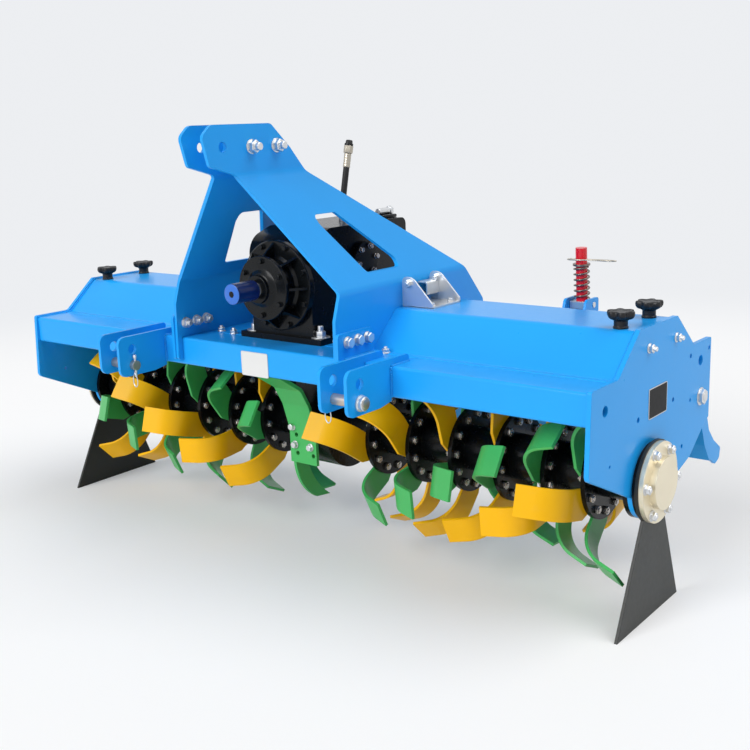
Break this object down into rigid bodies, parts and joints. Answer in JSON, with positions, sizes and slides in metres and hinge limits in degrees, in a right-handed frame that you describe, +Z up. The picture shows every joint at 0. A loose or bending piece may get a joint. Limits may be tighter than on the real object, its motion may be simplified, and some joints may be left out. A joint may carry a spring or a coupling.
{
  "type": "rotary tiller",
  "caption": "Three-point rotary tiller: bladed rotor under a bent hood, mast and lower clevises, top gearbox, sprung trailing board, on parking plates.",
  "frame": {"origin": "on the floor under the middle of the machine's overall box", "axes": "+X along the rotor towards the spring rod's side, +Y to the rear, away from the tractor, +Z up"},
  "size_m": [2.094, 1.0085, 1.212],
  "materials": {
    "blue_paint": "gloss",
    "black_paint": "gloss",
    "yellow_paint": "satin",
    "green_paint": "satin",
    "dark_plate": "satin",
    "champagne_cap": "metallic",
    "red_paint": "gloss",
    "zinc_steel": "satin",
    "black_plastic": "satin",
    "black_rubber": "matte",
    "blue_sleeve": "gloss"
  },
  "bodies": {
    "frame": {"beam": "blue_paint", "bearing_cap_left": "champagne_cap", "bearing_cap_right": "champagne_cap", "bearing_left": "black_paint", "bearing_right": "black_paint", "bearing_rings": "black_paint", "clevis_left": "blue_paint", "clevis_right": "blue_paint", "end_plate_left": "blue_paint", "end_plate_right": "blue_paint", "gear_case": "black_paint", "gearbox_housing": "black_paint", "guard_bar": "green_paint", "hinge_pins": "zinc_steel", "hitch_pins": "zinc_steel", "hood_knobs": "black_plastic", "hood_left": "blue_paint", "hood_middle": "blue_paint", "hood_right": "blue_paint", "hose": "black_rubber", "hose_end": "black_plastic", "hose_port": "zinc_steel", "input_flange": "black_paint", "lift_bracket_left": "zinc_steel", "lift_bracket_right": "zinc_steel", "mast_foot_left": "blue_paint", "mast_foot_right": "blue_paint", "mast_plate_left": "blue_paint", "mast_plate_right": "blue_paint", "mast_spacers": "blue_paint", "pivot_block": "zinc_steel", "rod_bracket": "blue_paint", "rod_spring": "red_paint", "share": "green_paint", "side_covers": "black_paint", "stand_plate_left": "dark_plate", "stand_plate_right": "dark_plate"},
    "rotor": {"rotor_shaft": "black_paint", "drum_left": "black_paint", "drum_right": "black_paint", "yellow_tines_left": "yellow_paint", "yellow_tines_right": "yellow_paint", "green_tines_left": "green_paint", "green_tines_right": "green_paint"},
    "drive_shaft": {"input_shaft": "zinc_steel", "shaft_sleeve": "blue_sleeve"},
    "board": {"trailing_board": "blue_paint", "board_ears": "blue_paint"},
    "rod": {"spring_rod": "red_paint"}
  },
  "joints": [
    {"name": "rotor_turn", "type": "hinge", "parent": "frame", "child": "rotor", "pos_m": [0, -0.026, 0.344], "axis": [1, 0, 0], "continuous": true},
    {"name": "shaft_turn", "type": "hinge", "parent": "frame", "child": "drive_shaft", "pos_m": [0, -0.36, 0.779], "axis": [0, 1, 0], "continuous": true},
    {"name": "board_lift", "type": "hinge", "parent": "frame", "child": "board", "pos_m": [0, 0.285, 0.483], "axis": [1, 0, 0], "range_deg": [0, 35]},
    {"name": "rod_slide", "type": "slide", "parent": "frame", "child": "rod", "axis": [0, -0.053, 0.9986], "range_m": [0, 0.0427]}
  ],
  "couplings": [
    {"joint": "shaft_turn", "follows": "rotor_turn", "ratio": -2.32},
    {"joint": "rod_slide", "follows": "board_lift", "m_per_rad": 0.069744}
  ]
}
